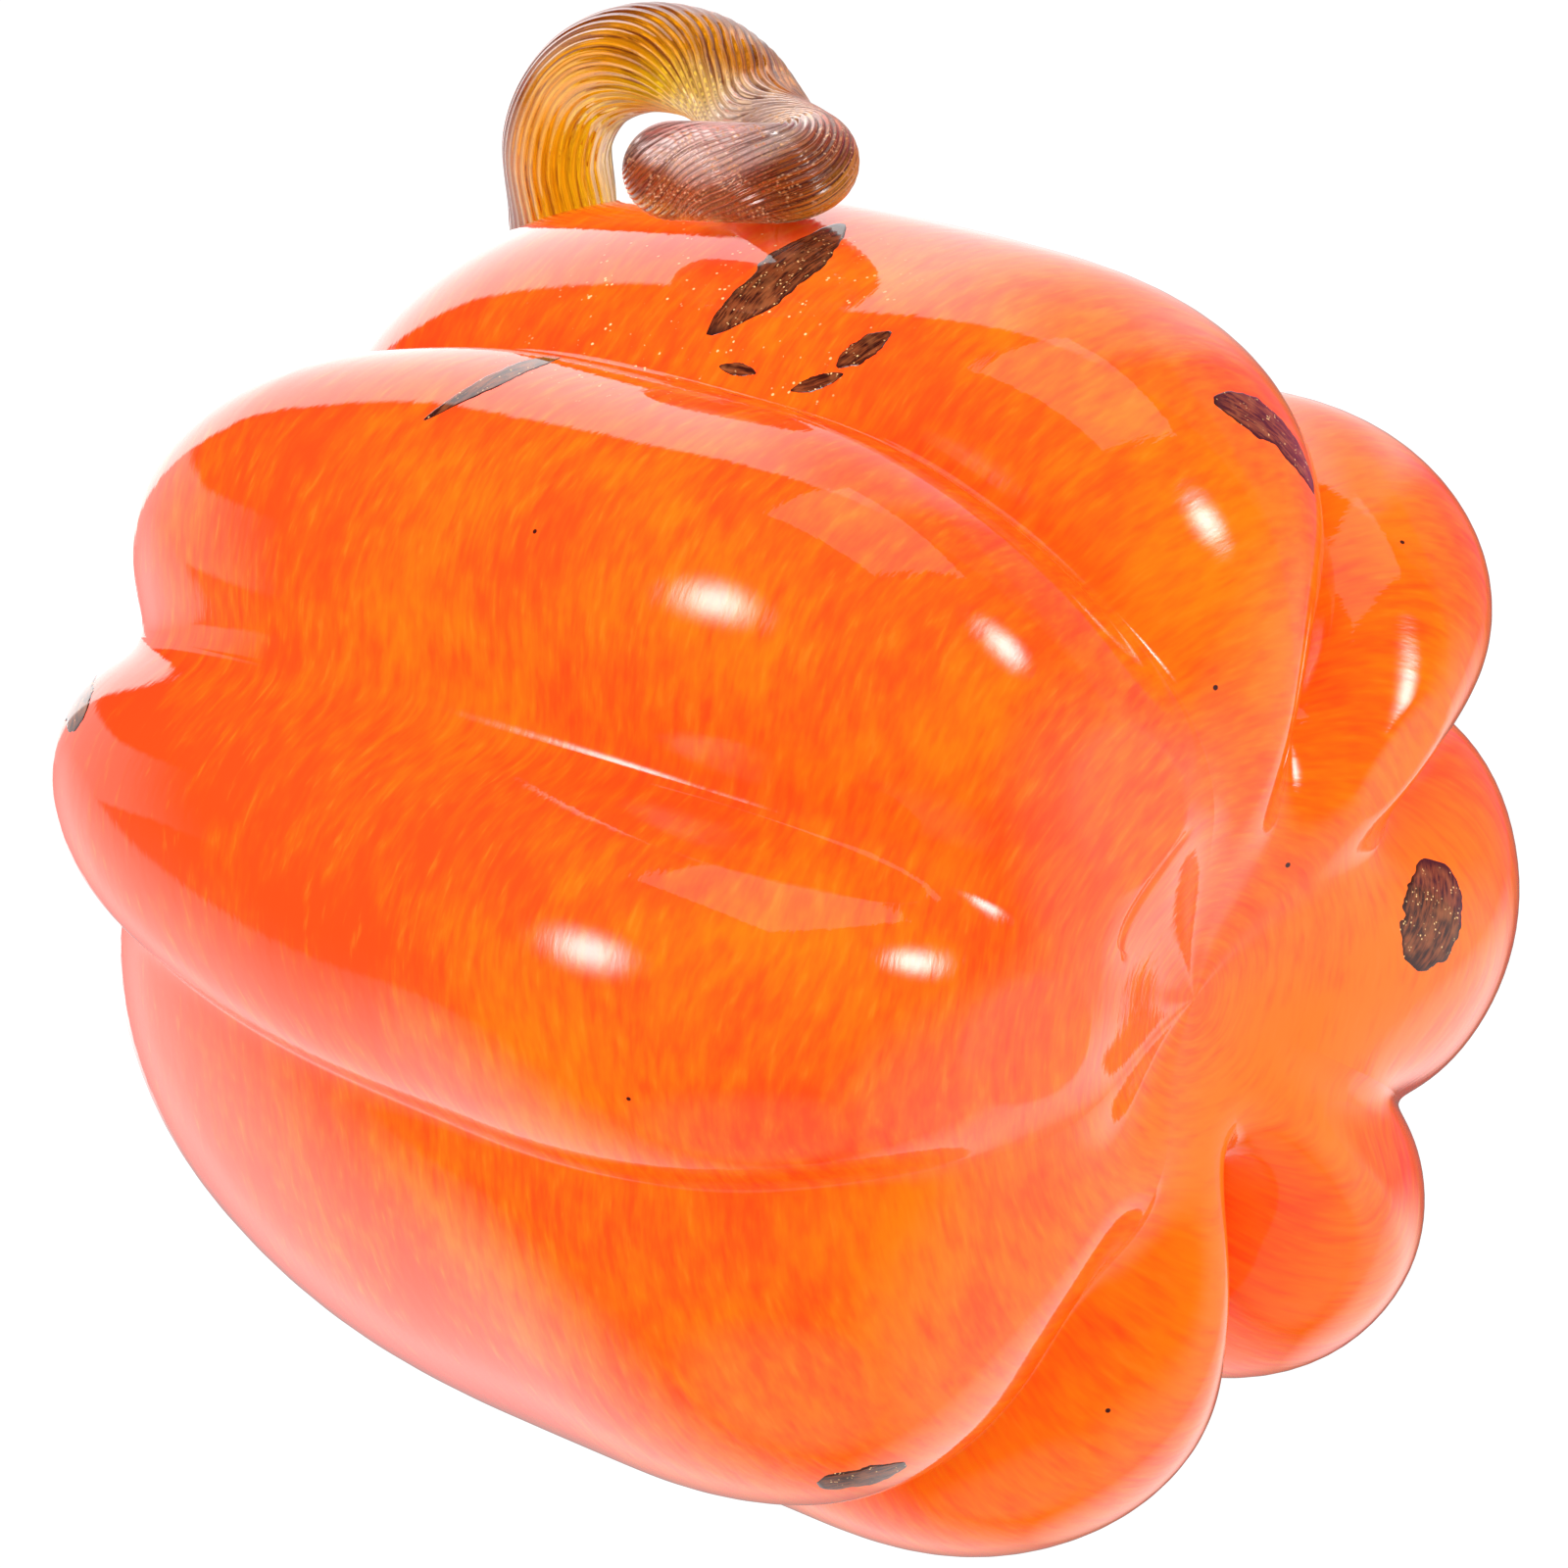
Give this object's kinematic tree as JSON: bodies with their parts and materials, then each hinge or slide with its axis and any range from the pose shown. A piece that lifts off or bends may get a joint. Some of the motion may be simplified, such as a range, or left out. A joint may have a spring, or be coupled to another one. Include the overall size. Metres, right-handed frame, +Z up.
{
  "type": "glass pumpkin figure",
  "caption": "Hand-blown hollow glass pumpkin with deep lobed sides, goldstone chips set in its wall and a curled, twisted rod stem closing the crown.",
  "frame": {"origin": "centre of the figure's footprint box, on the surface it stands on", "axes": "+Z up from the underside through the crown, -Y towards the side seen in the picture"},
  "size_m": [0.138, 0.1278, 0.1392],
  "materials": {
    "cased_glass": "glossy opaque orange glass streaked with yellow under a clear skin",
    "stem_glass": "clear amber glass with twisted ribs",
    "goldstone": "opaque brown aventurine glass with copper glitter"
  },
  "bodies": {
    "root": {"body_shell": "cased_glass", "stem": "stem_glass", "goldstone_leaf": "goldstone", "goldstone_kite": "goldstone", "goldstone_tail": "goldstone", "goldstone_sliver": "goldstone", "goldstone_blade": "goldstone", "goldstone_shard": "goldstone", "goldstone_crescent": "goldstone", "goldstone_oval": "goldstone", "goldstone_flake": "goldstone", "goldstone_splinter": "goldstone", "goldstone_spot": "goldstone"}
  },
  "joints": []
}
